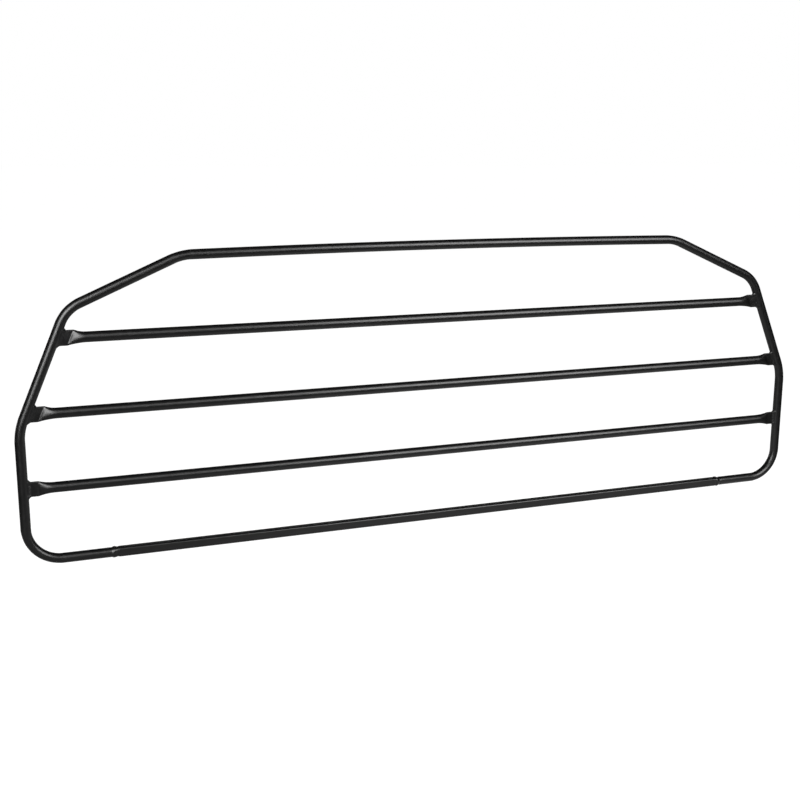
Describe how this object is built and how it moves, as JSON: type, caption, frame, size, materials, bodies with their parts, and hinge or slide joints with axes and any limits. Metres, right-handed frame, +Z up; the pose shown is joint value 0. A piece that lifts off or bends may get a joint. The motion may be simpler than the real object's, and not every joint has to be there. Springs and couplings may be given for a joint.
{
  "type": "headache rack",
  "caption": "Flat welded tube guard with a bent outer hoop and level crossbars, standing behind a vehicle cab to stop cargo sliding forward.",
  "frame": {"origin": "centre of the bottom rail's flat underside, midway along its length and across its depth", "axes": "+X along the width of the rack, +Y towards the side away from the viewer, +Z up towards the top rail"},
  "size_m": [1.436, 0.0178, 0.4925],
  "materials": {
    "black_powder_coat": "satin black powder coat over bare steel tube and welds"
  },
  "bodies": {
    "root": {"perimeter_hoop": "black_powder_coat", "bottom_rail": "black_powder_coat", "crossbar_lower": "black_powder_coat", "crossbar_middle": "black_powder_coat", "crossbar_upper": "black_powder_coat", "weld_lower_left": "black_powder_coat", "weld_lower_right": "black_powder_coat", "weld_middle_left": "black_powder_coat", "weld_middle_right": "black_powder_coat", "weld_upper_left": "black_powder_coat", "weld_upper_right": "black_powder_coat", "weld_bottom_left": "black_powder_coat", "weld_bottom_right": "black_powder_coat"}
  },
  "joints": []
}
